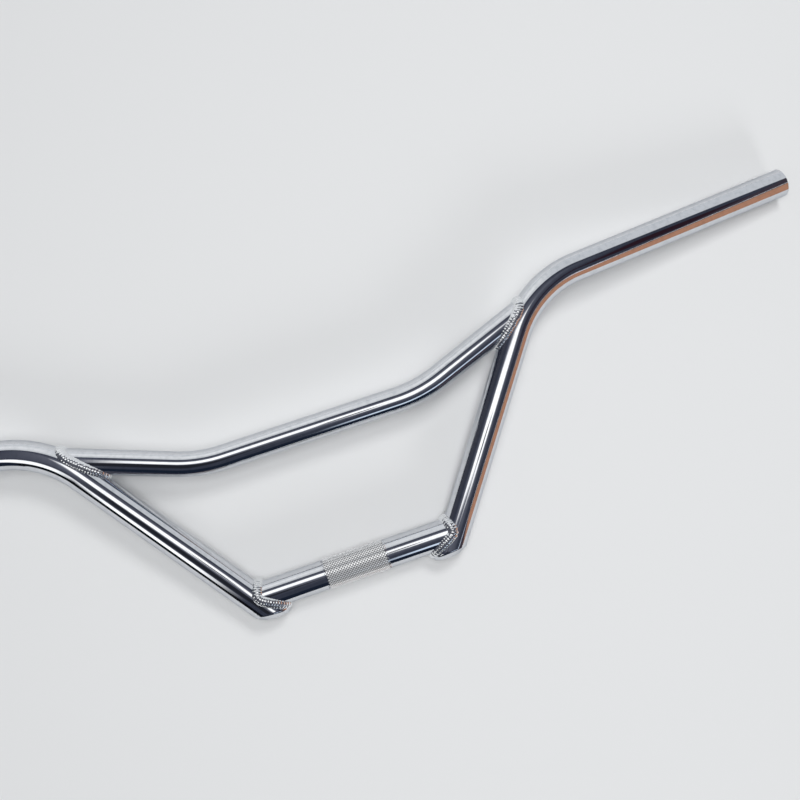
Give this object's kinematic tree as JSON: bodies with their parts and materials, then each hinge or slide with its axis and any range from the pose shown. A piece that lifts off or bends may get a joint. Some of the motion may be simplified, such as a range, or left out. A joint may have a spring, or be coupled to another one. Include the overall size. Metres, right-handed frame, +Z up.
{
  "type": "motorcycle handlebar",
  "caption": "Chromed steel handlebar: bent grip legs welded to a knurled clamp tube and tied by a thinner bent crossbar; held by a stem clamp, it carries grips and levers.",
  "frame": {"origin": "centre of the clamp tube, in the middle of the knurl", "axes": "+X along the clamp tube towards the right grip seen from the front, +Z up towards the grips, -Y to the front, so the grips sweep back towards +Y"},
  "size_m": [0.8324, 0.0435, 0.203],
  "materials": {
    "bright_chrome": "bright chrome plate on drawn tube",
    "knurled_chrome": "bright chrome plate with a rolled diamond knurl in the middle",
    "weld_chrome": "bright chrome plate over a rippled weld bead"
  },
  "bodies": {
    "root": {"clamp_tube": "knurled_chrome", "crossbar": "bright_chrome", "left_leg": "bright_chrome", "left_leg_cap": "bright_chrome", "left_base_weld": "weld_chrome", "left_crossbar_weld": "weld_chrome", "right_leg": "bright_chrome", "right_leg_cap": "bright_chrome", "right_base_weld": "weld_chrome", "right_crossbar_weld": "weld_chrome"}
  },
  "joints": []
}
